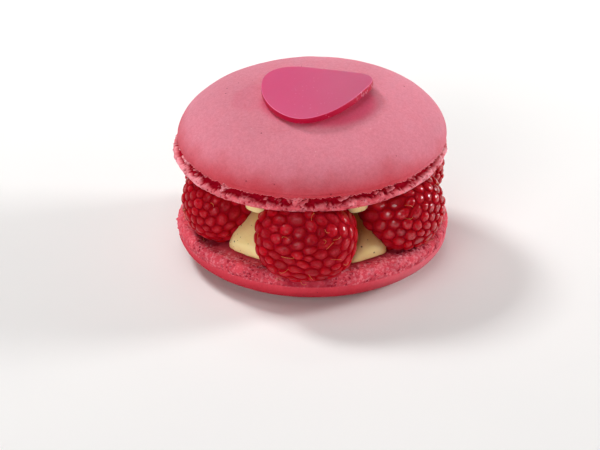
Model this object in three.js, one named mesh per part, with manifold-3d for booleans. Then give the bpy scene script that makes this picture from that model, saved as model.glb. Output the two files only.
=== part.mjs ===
// A large filled macaron, ready to serve: two almond-meringue shells with ruffled feet,
// a ring of seven whole raspberries pressed into a piped cream core between them, and a
// petal of pink chocolate lying on the top shell.
//
// Millimetres, +Z up. The front is -Y. The origin is the middle of the flat spot that the
// bottom shell rests on. Each shell is first made in a frame of its own, with its open
// side (the lip of the foot, towards the filling) at z = 0 and its dome rising along +Z,
// and is then set in place: the bottom one upside down, the top one with a slight tilt.

import * as THREE from "three";
import { ConvexHull } from "three/addons/math/ConvexHull.js";
import { mergeVertices } from "three/addons/utils/BufferGeometryUtils.js";
import Module from "manifold-3d";

const wasm = await Module();
wasm.setup();

// ---------------------------------------------------------------------------
// Driving dimensions
// ---------------------------------------------------------------------------

const CLEARANCE = 0.3; // gap left between pieces that touch each other

// Both shells. footRadius is the widest part of the ruffled foot, domeRadius the edge of
// the smooth cap, flatRadius a level spot at the pole, roundness how square the shoulder
// is (smaller is squarer), domeShift how far the cap sits off the middle of its foot, and
// creviceDepth how far the gap between foot and cap goes in.
const TOP_SHELL = {
  footRadius: 34.2,
  footHeight: 3.6,
  domeRadius: 33.7,
  domeHeight: 13.2,
  flatRadius: 0,
  roundness: 0.85,
  domeShift: 0.55,
  raggedness: 0.55,
  creviceDepth: 1.7,
  seed: 11,
};
const BOTTOM_SHELL = {
  footRadius: 34.4,
  footHeight: 3.3,
  domeRadius: 34.3,
  domeHeight: 6.6,
  flatRadius: 19,
  roundness: 0.86,
  domeShift: 0,
  raggedness: 0.45,
  creviceDepth: 0.7,
  seed: 23,
};
const FILLING_HEIGHT = 17.6; // from the bottom shell's lip to the top shell's lip
const TOP_LEAN = THREE.MathUtils.degToRad(2.5); // the top shell is lower at its front,
const TOP_TILT = THREE.MathUtils.degToRad(1.05); // a little higher at its right,
const TOP_SHIFT = new THREE.Vector2(-0.7, 1.1); // and sits off the bottom one's axis

const BOTTOM_LIP = BOTTOM_SHELL.footHeight + BOTTOM_SHELL.domeHeight;
const TOP_LIP = BOTTOM_LIP + FILLING_HEIGHT;

// Points round a shell: few near the pole, most round the ragged foot.
const FOOT_POINTS = 92;
const DOME_POINTS = [80, 68, 54, 38, 18];

// The seven raspberries lie on their sides, tips outwards. bearing is the direction from
// the macaron's axis in degrees, 0 at the front and positive to the right; reach is how
// far out the berry's middle is, and height how far up from the rest plane.
const RASPBERRIES = [
  { place: "front", bearing: -2, reach: 27.3, width: 25.4, length: 24.4, depth: 21.0, height: 17.3 },
  { place: "left", bearing: -63, reach: 25.0, width: 20.6, length: 20.0, depth: 19.4, height: 18.2 },
  { place: "right", bearing: 56, reach: 24.8, width: 23.6, length: 23.0, depth: 20.6, height: 18.0 },
  { place: "side_left", bearing: -113, reach: 24.6, width: 19.4, length: 21.0, depth: 19.6, height: 18.4 },
  { place: "side_right", bearing: 108, reach: 24.3, width: 18.6, length: 21.6, depth: 20.2, height: 18.6 },
  { place: "back_left", bearing: -160, reach: 23.8, width: 18.6, length: 20.6, depth: 19.6, height: 18.4 },
  { place: "back_right", bearing: 154, reach: 23.6, width: 18.2, length: 20.6, depth: 19.8, height: 18.5 },
];
const DRUPELET_SPACING = 3.1; // between the beads on a berry's outer half
const DRUPELET_RELIEF = 0.75; // from a bead's top down to the corners round it
const GOLDEN_ANGLE = Math.PI * (3 - Math.sqrt(5));

// The cream: a core that swells out between the berries, waisted half way up. The front
// berry, the largest, has squeezed it further out on both sides of itself.
const CREAM = {
  footRadius: 27.7,
  bellyRadius: 28.5,
  waistRadius: 23.6,
  rimRadius: 26.0,
  squeeze: 2.4,
  points: 60,
};

// The petal lies on the cap and is measured from the cap's middle.
const PETAL = {
  thickness: 1.6,
  middle: new THREE.Vector2(0.6, -5.7),
  reach: 14, // from its middle to its edge
  cup: 0.4, // how far its round edge curls up off the dome
  tipLift: 2.2, // how much more its pointed end stands up
  outlinePoints: 44,
};

// ---------------------------------------------------------------------------
// Seeded randomness
// ---------------------------------------------------------------------------

/** A repeatable stream of numbers from 0 to 1. */
function seededRandom(seed) {
  let state = seed >>> 0;
  return function next() {
    state = (state + 0x6d2b79f5) >>> 0;
    let mixed = Math.imul(state ^ (state >>> 15), state | 1);
    mixed ^= mixed + Math.imul(mixed ^ (mixed >>> 7), mixed | 61);
    return ((mixed ^ (mixed >>> 14)) >>> 0) / 4294967296;
  };
}

/** A smooth random wave round a circle, from -1 to 1, of the given numbers of ripples. */
function roundWave(random, ripples) {
  const phases = ripples.map(() => random() * 2 * Math.PI);
  return function wave(angle) {
    const sum = ripples.reduce((total, count, k) => total + Math.cos(count * angle + phases[k]), 0);
    return sum / ripples.length;
  };
}

// ---------------------------------------------------------------------------
// Solids from stacked rings of points
// ---------------------------------------------------------------------------

/** Triangles between two closed rings of points, which may hold different numbers. */
function stitchRings(triangles, lower, upper) {
  let i = 0;
  let j = 0;
  while (i < lower.length || j < upper.length) {
    const lowerNext = (i + 1) / lower.length;
    const upperNext = (j + 1) / upper.length;
    const a = lower[i % lower.length];
    const b = upper[j % upper.length];
    if (j >= upper.length || (i < lower.length && lowerNext <= upperNext)) {
      triangles.push(a, lower[(i + 1) % lower.length], b);
      i += 1;
    } else {
      triangles.push(a, upper[(j + 1) % upper.length], b);
      j += 1;
    }
  }
}

/**
 * A closed solid from rings of points. Each ring turns anticlockwise seen from +Z, and
 * the rings run outwards from the underside's middle, up the side and in to the top's
 * middle. The first and the last ring are single points.
 */
function solidFromRings(rings) {
  const positions = [];
  const numbered = rings.map((ring) =>
    ring.map((point) => {
      positions.push(point.x, point.y, point.z);
      return positions.length / 3 - 1;
    })
  );
  const triangles = [];
  const last = numbered.length - 1;
  fanFromPoint(triangles, numbered[0][0], numbered[1], true);
  for (let k = 1; k < last - 1; k += 1) {
    stitchRings(triangles, numbered[k], numbered[k + 1]);
  }
  fanFromPoint(triangles, numbered[last][0], numbered[last - 1], false);
  const geometry = new THREE.BufferGeometry();
  geometry.setAttribute("position", new THREE.Float32BufferAttribute(positions, 3));
  geometry.setIndex(triangles);
  return geometry;
}

/** Triangles from one point to a ring round it, facing down or up. */
function fanFromPoint(triangles, middle, ring, facesDown) {
  ring.forEach((corner, k) => {
    const next = ring[(k + 1) % ring.length];
    if (facesDown) {
      triangles.push(middle, next, corner);
    } else {
      triangles.push(middle, corner, next);
    }
  });
}

/** A ring of points: placeAt(angle, index) gives each one. */
function ringOf(count, placeAt) {
  return Array.from({ length: count }, (_, k) => placeAt((k / count) * 2 * Math.PI, k));
}

/** A point at a radius, an angle and a height. */
function polar(radius, angle, z) {
  return new THREE.Vector3(radius * Math.cos(angle), radius * Math.sin(angle), z);
}

// ---------------------------------------------------------------------------
// Joining and cutting
// ---------------------------------------------------------------------------

/** A closed geometry as a solid that can be cut. */
function toSolid(geometry) {
  const bare = geometry.clone();
  bare.deleteAttribute("normal");
  bare.deleteAttribute("uv");
  const merged = mergeVertices(bare);
  const vertProperties = new Float32Array(merged.attributes.position.array);
  const triVerts = new Uint32Array(merged.index.array);
  return new wasm.Manifold(new wasm.Mesh({ numProp: 3, vertProperties, triVerts }));
}

/** A cut solid back as a geometry. */
function toGeometry(solid) {
  const mesh = solid.getMesh();
  const geometry = new THREE.BufferGeometry();
  geometry.setAttribute("position", new THREE.BufferAttribute(new Float32Array(mesh.vertProperties), 3));
  geometry.setIndex(new THREE.BufferAttribute(new Uint32Array(mesh.triVerts), 1));
  return geometry;
}

/** One geometry with several others cut away from it. */
function cutAway(geometry, cutters) {
  const solid = cutters.reduce((left, cutter) => left.subtract(toSolid(cutter)), toSolid(geometry));
  return toGeometry(solid);
}

// ---------------------------------------------------------------------------
// Shells
// ---------------------------------------------------------------------------

/** Height of the smooth cap above the top of its foot, at a distance from its axis. */
function capHeight(shell, radius) {
  const outwards = Math.max(radius - shell.flatRadius, 0) / (shell.domeRadius - shell.flatRadius);
  return shell.domeHeight * Math.sqrt(Math.max(1 - outwards ** (2 / shell.roundness), 0));
}

/** The open side: level in the middle, pitted towards the lip. */
function openSideRings(shell, random) {
  const pitDepth = shell.raggedness * 0.9;
  const pitted = (radius) =>
    ringOf(FOOT_POINTS, (angle) => polar(radius + (random() - 0.5), angle, pitDepth * random()));
  return [
    [new THREE.Vector3(0, 0, 0)],
    ringOf(DOME_POINTS[4], (angle) => polar(shell.footRadius * 0.35, angle, 0)),
    ringOf(DOME_POINTS[1], (angle) => polar(shell.footRadius * 0.76, angle, 0)),
    pitted(shell.footRadius - 4.6),
    pitted(shell.footRadius - 2.0),
  ];
}

/**
 * The foot: a flared lip that is nearly even, then a wall that is more torn the nearer it
 * is to the crevice under the cap. pit is the depth of the deepest holes at each level.
 */
function footRings(shell, random) {
  const ruffle = roundWave(random, [7, 11, 17, 23, 31]);
  const levels = [
    { inset: 0.4, height: 0.05, pit: 0.2 },
    { inset: 0.0, height: 0.24, pit: 0.4 },
    { inset: 0.2, height: 0.5, pit: 1.1 },
    { inset: 0.5, height: 0.74, pit: 1.4 * shell.creviceDepth },
    { inset: shell.creviceDepth, height: 0.93, pit: shell.creviceDepth },
  ];
  return levels.map((level) =>
    ringOf(FOOT_POINTS, (angle) => {
      const pit = level.pit * shell.raggedness * 2 * random() ** 2;
      const radius = shell.footRadius - level.inset + 0.6 * shell.raggedness * ruffle(angle) - pit;
      const height = shell.footHeight * level.height + 0.5 * shell.raggedness * (random() - 0.5);
      return polar(radius, angle, height);
    })
  );
}

/** The smooth cap, from its slightly ragged lower edge up to the pole. */
function capRings(shell, random) {
  const swell = roundWave(random, [2, 3, 5]);
  const shifted = (radius, angle, z) => {
    const point = polar(radius + 0.15 * swell(angle) * (radius / shell.domeRadius), angle, z);
    point.x += shell.domeShift;
    return point;
  };
  const hem = ringOf(FOOT_POINTS, (angle) =>
    shifted(shell.domeRadius - 0.25, angle, shell.footHeight + 0.8 * shell.raggedness * (random() - 0.4))
  );
  const steps = [FOOT_POINTS, ...DOME_POINTS];
  const rings = steps.map((count, k) => {
    const turn = ((k + 0.6) / (steps.length + 0.6)) * (Math.PI / 2);
    const outwards = Math.cos(turn) ** shell.roundness;
    const radius = shell.flatRadius + (shell.domeRadius - shell.flatRadius) * outwards;
    const height = shell.footHeight + shell.domeHeight * Math.sin(turn);
    return ringOf(count, (angle) => shifted(radius, angle, height));
  });
  return [hem, ...rings];
}

/** The level spot or the pole that closes the cap. */
function poleRings(shell) {
  const top = shell.footHeight + shell.domeHeight;
  const pole = [new THREE.Vector3(shell.domeShift, 0, top)];
  if (shell.flatRadius === 0) {
    return [pole];
  }
  return [ringOf(DOME_POINTS[2], (angle) => polar(shell.flatRadius, angle, top)), pole];
}

/** A whole shell in its own frame. */
function macaronShell(shell) {
  const random = seededRandom(shell.seed);
  return solidFromRings([
    ...openSideRings(shell, random),
    ...footRings(shell, random),
    ...capRings(shell, random),
    ...poleRings(shell),
  ]);
}

/** Smooth space round a shell that the filling keeps out of, in the shell's frame. */
function shellSpace(shell) {
  const outer = shell.footRadius + CLEARANCE + 0.25;
  const profile = [
    new THREE.Vector2(0, -CLEARANCE),
    new THREE.Vector2(outer - 0.8, -CLEARANCE),
    new THREE.Vector2(outer, 0.9),
    new THREE.Vector2(outer, shell.footHeight + shell.domeHeight),
    new THREE.Vector2(0, shell.footHeight + shell.domeHeight),
  ];
  return new THREE.LatheGeometry(profile, 48).rotateX(Math.PI / 2);
}

// ---------------------------------------------------------------------------
// Raspberries
// ---------------------------------------------------------------------------

/**
 * Directions of a berry's drupelets, wound round its length like the seeds of a
 * sunflower from the tip (+X) to the inner end. They lie close on the outer half and
 * further apart on the half that is buried in the cream.
 */
function drupeletDirections(count, random) {
  const CLOSE = 0.58;
  return Array.from({ length: count }, (_, k) => {
    const along = (k + 0.5) / count;
    const share = CLOSE * along + (1 - CLOSE) * along ** 4;
    const x = THREE.MathUtils.clamp(1 - 2 * share + 0.02 * (random() - 0.5), -0.995, 0.998);
    const around = k * GOLDEN_ANGLE + 0.22 * (random() - 0.5);
    const across = Math.sqrt(1 - x * x);
    return new THREE.Vector3(x, across * Math.cos(around), across * Math.sin(around));
  });
}

/** How many drupelets give the wanted spacing on the outer half of a berry. */
function drupeletCount(berry) {
  const mean = (berry.width + berry.length + berry.depth) / 6;
  const cell = DRUPELET_SPACING ** 2 * Math.sin(Math.PI / 3);
  const OUTER_SHARE = 0.71;
  return Math.round((2 * Math.PI * mean ** 2) / cell / OUTER_SHARE);
}

/** The corners between neighbouring drupelets, listed for each drupelet. */
function cornersRoundSites(sites) {
  const hull = new ConvexHull().setFromPoints(sites);
  const corners = new Map(sites.map((site) => [site, []]));
  hull.faces.forEach((face) => {
    const corner = face.normal.clone().normalize();
    let edge = face.edge;
    do {
      corners.get(edge.head().point).push(corner);
      edge = edge.next;
    } while (edge !== face.edge);
  });
  return corners;
}

/** Corners put in order, anticlockwise round a site seen from outside. */
function inOrderRound(site, corners) {
  const side = new THREE.Vector3(0.31, 0.57, 0.76).cross(site).normalize();
  const other = new THREE.Vector3().crossVectors(site, side);
  const bearing = (corner) => Math.atan2(corner.dot(other), corner.dot(side));
  return [...corners].sort((a, b) => bearing(a) - bearing(b));
}

/** A whole berry, its middle at the origin and its tip along +X: one facet fan a bead. */
function wholeRaspberry(berry, seed) {
  const random = seededRandom(seed);
  const half = new THREE.Vector3(berry.length, berry.width, berry.depth).multiplyScalar(0.5);
  const sites = drupeletDirections(drupeletCount(berry), random);
  const sunk = new THREE.Vector3(
    half.x - DRUPELET_RELIEF,
    half.y - DRUPELET_RELIEF,
    half.z - DRUPELET_RELIEF
  );
  const positions = [];
  cornersRoundSites(sites).forEach((corners, site) => {
    const fullness = 1 - 0.025 * random();
    const top = site.clone().multiply(half).multiplyScalar(fullness);
    const ring = inOrderRound(site, corners).map((corner) => corner.clone().multiply(sunk));
    ring.forEach((point, k) => {
      const next = ring[(k + 1) % ring.length];
      positions.push(...top.toArray(), ...point.toArray(), ...next.toArray());
    });
  });
  const geometry = new THREE.BufferGeometry();
  geometry.setAttribute("position", new THREE.Float32BufferAttribute(positions, 3));
  return mergeVertices(geometry, 0.0005);
}

/** Where a berry lies: its tip turned outwards along its bearing. */
function raspberryPlacement(berry) {
  const angle = THREE.MathUtils.degToRad(berry.bearing) - Math.PI / 2;
  const place = new THREE.Matrix4().makeRotationZ(angle);
  const middle = polar(berry.reach, angle, berry.height);
  return place.setPosition(middle);
}

/** A smooth low shell round a berry, which the cream keeps out of. */
function raspberrySpace(berry) {
  const FACET_ALLOWANCE = 1.025;
  const half = (size) => (size / 2 + CLEARANCE) * FACET_ALLOWANCE;
  const space = new THREE.IcosahedronGeometry(1, 2);
  space.scale(half(berry.length), half(berry.width), half(berry.depth));
  return space.applyMatrix4(raspberryPlacement(berry));
}

/** A berry in place, flattened where the shells press on it. */
function raspberry(berry, seed, shellSpaces) {
  const geometry = wholeRaspberry(berry, seed).applyMatrix4(raspberryPlacement(berry));
  return cutAway(geometry, shellSpaces);
}

// ---------------------------------------------------------------------------
// Cream
// ---------------------------------------------------------------------------

/** Outer radius of the cream, from its foot (0) through its waist to its rim (1). */
function creamRadius(level, angle) {
  const { footRadius, bellyRadius, waistRadius, rimRadius, squeeze } = CREAM;
  const { lerp, smoothstep } = THREE.MathUtils;
  const swell = Math.sin(Math.PI * Math.min(level / 0.45, 1)) * (bellyRadius - footRadius);
  const foot = lerp(footRadius, waistRadius, smoothstep(level, 0.2, 0.6));
  const rim = smoothstep(level, 0.65, 0.95) * (rimRadius - waistRadius);
  const towardsFront = Math.max(-Math.sin(angle), 0);
  return foot + swell + rim + squeeze * towardsFront ** 6;
}

/** The cream before the berries are pressed in. */
function creamCore() {
  const random = seededRandom(5);
  const wobble = roundWave(random, [3, 5, 8, 13]);
  const bottom = BOTTOM_LIP + CLEARANCE;
  const height = FILLING_HEIGHT + 2;
  const levels = [0, 0.16, 0.34, 0.54, 0.76, 1];
  const rings = levels.map((level) =>
    ringOf(CREAM.points, (angle) =>
      polar(creamRadius(level, angle) + 0.6 * wobble(angle), angle, bottom + level * height)
    )
  );
  return solidFromRings([
    [new THREE.Vector3(0, 0, bottom)],
    ...rings,
    [new THREE.Vector3(0, 0, bottom + height)],
  ]);
}

/** The cream with the berries and the top shell pressed into it. */
function cream(topSpace) {
  return cutAway(creamCore(), [topSpace, ...RASPBERRIES.map(raspberrySpace)]);
}

// ---------------------------------------------------------------------------
// Petal
// ---------------------------------------------------------------------------

/** The petal's outline seen from above: round at the left, pointed at the right. */
function petalOutline() {
  const outline = new THREE.Path();
  outline.moveTo(15.4, -4.7);
  outline.bezierCurveTo(15.5, 1.6, 0.7, 7.4, -5.1, 7.3);
  outline.bezierCurveTo(-9.7, 7.1, -12.1, 3.2, -12.1, -2.2);
  outline.bezierCurveTo(-12.4, -8.9, -8.0, -19.0, -1.5, -18.5);
  outline.bezierCurveTo(6.7, -18.0, 13.3, -8.2, 15.4, -4.7);
  return outline.getSpacedPoints(PETAL.outlinePoints).slice(0, PETAL.outlinePoints);
}

/** Height of the petal's underside above the top shell's lip. */
function petalUnderside(x, y) {
  const away = Math.hypot(x - PETAL.middle.x, y - PETAL.middle.y) / PETAL.reach;
  const towardsTip = Math.max(x - PETAL.middle.x, 0) / PETAL.reach;
  const dome = TOP_SHELL.footHeight + capHeight(TOP_SHELL, Math.hypot(x, y));
  return dome + CLEARANCE + PETAL.cup * away ** 2 + PETAL.tipLift * towardsTip ** 3;
}

/** The petal's outline drawn in towards its middle and raised off its underside. */
function petalRing(outline, scale, lift) {
  return outline.map((point) => {
    const x = THREE.MathUtils.lerp(PETAL.middle.x, point.x, scale);
    const y = THREE.MathUtils.lerp(PETAL.middle.y, point.y, scale);
    return new THREE.Vector3(x, y, petalUnderside(x, y) + lift);
  });
}

/** The petal, a curved plate with a rounded edge. */
function petal() {
  const outline = petalOutline();
  const { thickness } = PETAL;
  return solidFromRings([
    petalRing([PETAL.middle], 0, 0),
    petalRing(outline, 0.5, 0),
    petalRing(outline, 0.97, 0),
    petalRing(outline, 1, thickness / 2),
    petalRing(outline, 0.97, thickness),
    petalRing(outline, 0.5, thickness),
    petalRing([PETAL.middle], 0, thickness),
  ]);
}

// ---------------------------------------------------------------------------
// Assembly
// ---------------------------------------------------------------------------

/** A finish of its own for each piece. */
function finish(colour, roughness) {
  return new THREE.MeshStandardMaterial({ color: colour, roughness, metalness: 0 });
}

/** A named piece. */
function piece(name, geometry, material) {
  const mesh = new THREE.Mesh(geometry, material);
  mesh.name = name;
  return mesh;
}

const macaron = new THREE.Group();

const bottomGroup = new THREE.Group();
bottomGroup.position.z = BOTTOM_LIP;
bottomGroup.rotation.x = Math.PI;
bottomGroup.add(piece("shell_bottom", macaronShell(BOTTOM_SHELL), finish(0xc2505f, 0.8)));
macaron.add(bottomGroup);

const topGroup = new THREE.Group();
topGroup.position.set(TOP_SHIFT.x, TOP_SHIFT.y, TOP_LIP);
topGroup.rotation.set(TOP_LEAN, -TOP_TILT, 0);
topGroup.add(piece("shell_top", macaronShell(TOP_SHELL), finish(0xde8696, 0.75)));
const petalPiece = piece("petal", petal(), finish(0xd85c82, 0.35));
petalPiece.position.x = TOP_SHELL.domeShift;
topGroup.add(petalPiece);
macaron.add(topGroup);

macaron.updateMatrixWorld(true);
const bottomSpace = shellSpace(BOTTOM_SHELL).applyMatrix4(bottomGroup.matrixWorld);
const topSpace = shellSpace(TOP_SHELL).applyMatrix4(topGroup.matrixWorld);

macaron.add(piece("cream", cream(topSpace), finish(0xe0c88e, 0.5)));

RASPBERRIES.forEach((berry, k) => {
  const geometry = raspberry(berry, 101 + k, [bottomSpace, topSpace]);
  macaron.add(piece(`raspberry_${berry.place}`, geometry, finish(0x96202c, 0.25)));
});

export default macaron;
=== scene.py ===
# %% [markdown]
# # A raspberry macaron
# A large filled macaron: two almond shells with ruffled feet, a ring of seven raspberries
# round a core of vanilla cream, and a petal of pink chocolate on top.
#
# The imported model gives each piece's place and size. Every piece here is modelled in that
# same frame, in metres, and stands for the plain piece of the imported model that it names.

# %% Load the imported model
import math
import random

import bpy
from mathutils import Euler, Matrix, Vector


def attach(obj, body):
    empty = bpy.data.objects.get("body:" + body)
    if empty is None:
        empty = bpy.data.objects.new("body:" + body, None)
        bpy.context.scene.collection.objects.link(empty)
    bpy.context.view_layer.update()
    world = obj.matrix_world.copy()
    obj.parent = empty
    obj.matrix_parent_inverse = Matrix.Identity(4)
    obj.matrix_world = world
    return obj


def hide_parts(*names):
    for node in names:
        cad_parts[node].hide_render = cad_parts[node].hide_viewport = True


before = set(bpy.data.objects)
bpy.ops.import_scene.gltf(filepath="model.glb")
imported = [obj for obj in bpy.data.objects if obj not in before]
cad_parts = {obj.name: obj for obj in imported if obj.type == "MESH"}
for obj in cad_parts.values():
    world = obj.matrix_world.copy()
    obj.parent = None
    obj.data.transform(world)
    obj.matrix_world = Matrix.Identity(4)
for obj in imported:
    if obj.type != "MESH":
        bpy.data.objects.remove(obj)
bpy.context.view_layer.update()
MM = 0.001
print("packed pieces:", sorted(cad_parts))

# %% [markdown]
# ## Sizes
# The macaron rests on the flat spot of its bottom shell. Each shell is modelled in a frame
# of its own, with the lip of its open side at height 0 and its dome rising, because both
# are then made by the same steps. The bottom one is turned upside down at the end.

# %% Sizes shared by several pieces
BOTTOM_LIP = 9.9 * MM
TOP_PLACE = Vector((-0.7, 1.1, 27.5)) * MM
TOP_LEAN = math.radians(2.5)
TOP_TILT = math.radians(1.05)
TOP_TURN = (TOP_LEAN, -TOP_TILT, 0)
CAP_SHIFT = 0.55 * MM
print("filling height in mm:", round((TOP_PLACE.z - BOTTOM_LIP) / MM, 2))

# %% [markdown]
# ## Camera
# A long lens from half a metre away, a little above the table, keeps the macaron's round
# shells from looking stretched.

# %% Camera
AIM = Vector((-3.2, 0, 5.6)) * MM
CAMERA_DISTANCE = 450 * MM
CAMERA_RISE = math.radians(28)
LENS = 105.3  # in mm, as the sensor's width is
SENSOR_WIDTH = 36
NEAREST_SEEN = 10 * MM

towards_camera = Vector((0, -math.cos(CAMERA_RISE), math.sin(CAMERA_RISE)))
bpy.ops.object.camera_add(location=AIM + CAMERA_DISTANCE * towards_camera)
camera = bpy.context.object
camera.name = "camera"
camera.rotation_euler = (AIM - camera.location).to_track_quat("-Z", "Y").to_euler()
camera.data.lens = LENS
camera.data.sensor_width = SENSOR_WIDTH
camera.data.clip_start = NEAREST_SEEN
bpy.context.scene.camera = camera
print("camera stands at", tuple(round(c, 4) for c in camera.location))

# %% [markdown]
# ## Floor and light
# Food looks fresh in soft light from behind and from the side, which draws a pale edge
# round each berry. A lamp stands low on the right and another behind on the left, so that
# each gives its own soft shadow. A wide cloth above them fills the shadows, and a white
# card fills in the front. The floor is a plain pale sheet, and a large lamp over its far
# end lights it up to white there.

# %% Floor and lights
FLOOR_SIZE = 6
LAMP_AIM = Vector((0, 0, 0.02))
LAMPS = [  # name, place and side in metres, power in watts
    ("lamp_right", (0.68, 0.12, 0.27), 0.2, 3.3),
    ("key_back_left", (-0.42, 0.32, 0.66), 0.2, 3.6),
    ("cloth_above", (-0.1, -0.25, 0.85), 0.6, 1.8),
    ("card_front", (-0.35, -0.85, 0.35), 0.5, 4.2),
    ("lamp_backdrop", (0, 1.7, 1.3), 1.6, 92.0),
]
BACKDROP_SPREAD = math.radians(80)
ROOM_LIGHT = 0.02

bpy.ops.mesh.primitive_plane_add(size=FLOOR_SIZE, location=(0, 0, 0))
floor = bpy.context.object
floor.name = "floor"

for name, place, side, power in LAMPS:
    bpy.ops.object.light_add(type="AREA", location=place)
    lamp = bpy.context.object
    lamp.name = name
    lamp.rotation_euler = (LAMP_AIM - lamp.location).to_track_quat("-Z", "Y").to_euler()
    lamp.data.shape = "SQUARE"
    lamp.data.size = side
    lamp.data.energy = power
# the last one faces straight down
lamp.rotation_euler = (0, 0, 0)
lamp.data.spread = BACKDROP_SPREAD

world = bpy.data.worlds.new("studio")
bpy.context.scene.world = world
world.use_nodes = True
background = world.node_tree.nodes["Background"]
background.inputs["Color"].default_value = (1, 1, 1, 1)
background.inputs["Strength"].default_value = ROOM_LIGHT
bpy.context.scene.view_settings.view_transform = "Standard"

# %% [markdown]
# ## Helpers for node trees
# Geometry nodes and material nodes are built the same way: a node is added, set up and
# linked. `Field` wraps an output, so that sums on it can be written as sums.

# %% Helpers for nodes


class Field:
    """An output of a node tree. Sums with it add the Math nodes that work them out."""

    def __init__(self, tree, socket):
        self.tree = tree
        self.socket = socket

    def maths(self, operation, *others):
        inputs = {0: self, **dict(enumerate(others, 1))}
        return add(self.tree, "ShaderNodeMath", inputs, operation=operation)

    def __add__(self, other):
        return self.maths("ADD", other)

    def __sub__(self, other):
        return self.maths("SUBTRACT", other)

    def __mul__(self, other):
        return self.maths("MULTIPLY", other)

    def __pow__(self, other):
        return self.maths("POWER", other)

    __radd__ = __add__
    __rmul__ = __mul__

    def __rsub__(self, other):
        return add(self.tree, "ShaderNodeMath", {0: other, 1: self}, operation="SUBTRACT")

    def between(self, low, high, at_low=0.0, at_high=1.0):
        """A smooth step as this goes from low to high."""
        inputs = {"Value": self, "From Min": low, "From Max": high}
        inputs |= {"To Min": at_low, "To Max": at_high}
        return add(self.tree, "ShaderNodeMapRange", inputs, interpolation_type="SMOOTHSTEP")

    def band(self, low, full, fading, high):
        """1 from full to fading, 0 below low and above high, and smooth between them."""
        return self.between(low, full) * self.between(fading, high, 1, 0)

    def output(self, name):
        """Another output of the same node."""
        return Field(self.tree, self.socket.node.outputs[name])


def fill(tree, node, inputs):
    """Links fields to a node's inputs, and sets the other inputs to plain values."""
    for key, value in inputs.items():
        if isinstance(value, Field):
            tree.links.new(value.socket, node.inputs[key])
        else:
            node.inputs[key].default_value = value


def add(tree, kind, inputs=(), output=0, **settings):
    """Adds a node, sets it up, fills or links its inputs, and gives one output."""
    made = tree.nodes.new(kind)
    for name, value in settings.items():
        setattr(made, name, value)
    fill(tree, made, dict(inputs))
    return Field(tree, made.outputs[output])


print("node helpers ready")

# %% Vectors and patterns


def vector_maths(operation, first, *others, output=0):
    """A Vector Math node on vector fields."""
    inputs = {0: first, **dict(enumerate(others, 1))}
    return add(first.tree, "ShaderNodeVectorMath", inputs, output, operation=operation)


def scaled(vector, amount):
    """A vector field made longer or shorter."""
    return add(vector.tree, "ShaderNodeVectorMath", {0: vector, "Scale": amount}, operation="SCALE")


def parts(vector):
    """The three parts of a vector field."""
    return [add(vector.tree, "ShaderNodeSeparateXYZ", {0: vector}, k) for k in range(3)]


def joined(tree, x, y, z):
    """Three parts as one vector field."""
    return add(tree, "ShaderNodeCombineXYZ", {0: x, 1: y, 2: z})


def flat_length(x, y):
    """How long a level vector is."""
    return vector_maths("LENGTH", joined(x.tree, x, y, 0.0), output="Value")


def cloudy(place, size, seed, detail=2.0, roughness=0.5):
    """Soft random patches of a size, from about -1 to 1."""
    inputs = {"Vector": place, "Scale": 1 / size, "W": seed}
    inputs |= {"Detail": detail, "Roughness": roughness}
    return (add(place.tree, "ShaderNodeTexNoise", inputs, noise_dimensions="4D") - 0.5) * 2


def bubbly(place, size, seed):
    """Distance from the middle of the nearest random cell: 0 there and about 1 at its edge."""
    moved = vector_maths("ADD", place, (seed * MM, -seed * MM, seed * MM))
    return add(place.tree, "ShaderNodeTexVoronoi", {"Vector": moved, "Scale": 1 / size}, "Distance")


print("pattern helpers ready")

# %% Helpers for relief


def pick_only(piece):
    """Makes a piece the only one selected, so that operators act on nothing else."""
    bpy.ops.object.select_all(action="DESELECT")
    piece.select_set(True)
    bpy.context.view_layer.objects.active = piece


def new_relief(name):
    """A geometry node tree that takes a mesh and gives one back."""
    tree = bpy.data.node_groups.new(name, "GeometryNodeTree")
    for way in ("INPUT", "OUTPUT"):
        tree.interface.new_socket("Geometry", in_out=way, socket_type="NodeSocketGeometry")
    return tree, add(tree, "NodeGroupInput")


def finish_relief(mesh):
    """Links the last mesh of a tree to its output, and gives the tree."""
    out = mesh.tree.nodes.new("NodeGroupOutput")
    mesh.tree.links.new(mesh.socket, out.inputs[0])
    return mesh.tree


def run_relief(piece, tree):
    """Runs a geometry node tree on a piece and keeps the result."""
    pick_only(piece)
    modifier = piece.modifiers.new(tree.name, "NODES")
    modifier.node_group = tree
    bpy.ops.object.modifier_apply(modifier=modifier.name)


def placed_at(mesh, position):
    """Puts every point of a mesh at a position of its own."""
    return add(mesh.tree, "GeometryNodeSetPosition", {"Geometry": mesh, "Position": position})


def stored(mesh, name, value, domain="POINT", **where):
    """Keeps a number on a mesh under a name, for later steps and for its finish."""
    inputs = {"Geometry": mesh, "Name": name, "Value": value, **where}
    kind = "GeometryNodeStoreNamedAttribute"
    return add(mesh.tree, kind, inputs, data_type="FLOAT", domain=domain)


print("relief helpers ready")

# %% Helpers for pieces
WELD_DISTANCE = 0.005 * MM


def edit_all_points():
    """Goes into edit mode with every point of the active piece selected."""
    bpy.ops.object.mode_set(mode="EDIT")
    bpy.ops.mesh.select_mode(type="VERT")
    bpy.ops.mesh.select_all(action="SELECT")


def close_mesh(distance):
    """Welds seams and poles, turns the faces outwards and leaves edit mode."""
    bpy.ops.mesh.select_all(action="SELECT")
    bpy.ops.mesh.remove_doubles(threshold=distance)
    bpy.ops.mesh.normals_make_consistent(inside=False)
    bpy.ops.object.mode_set(mode="OBJECT")


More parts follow.
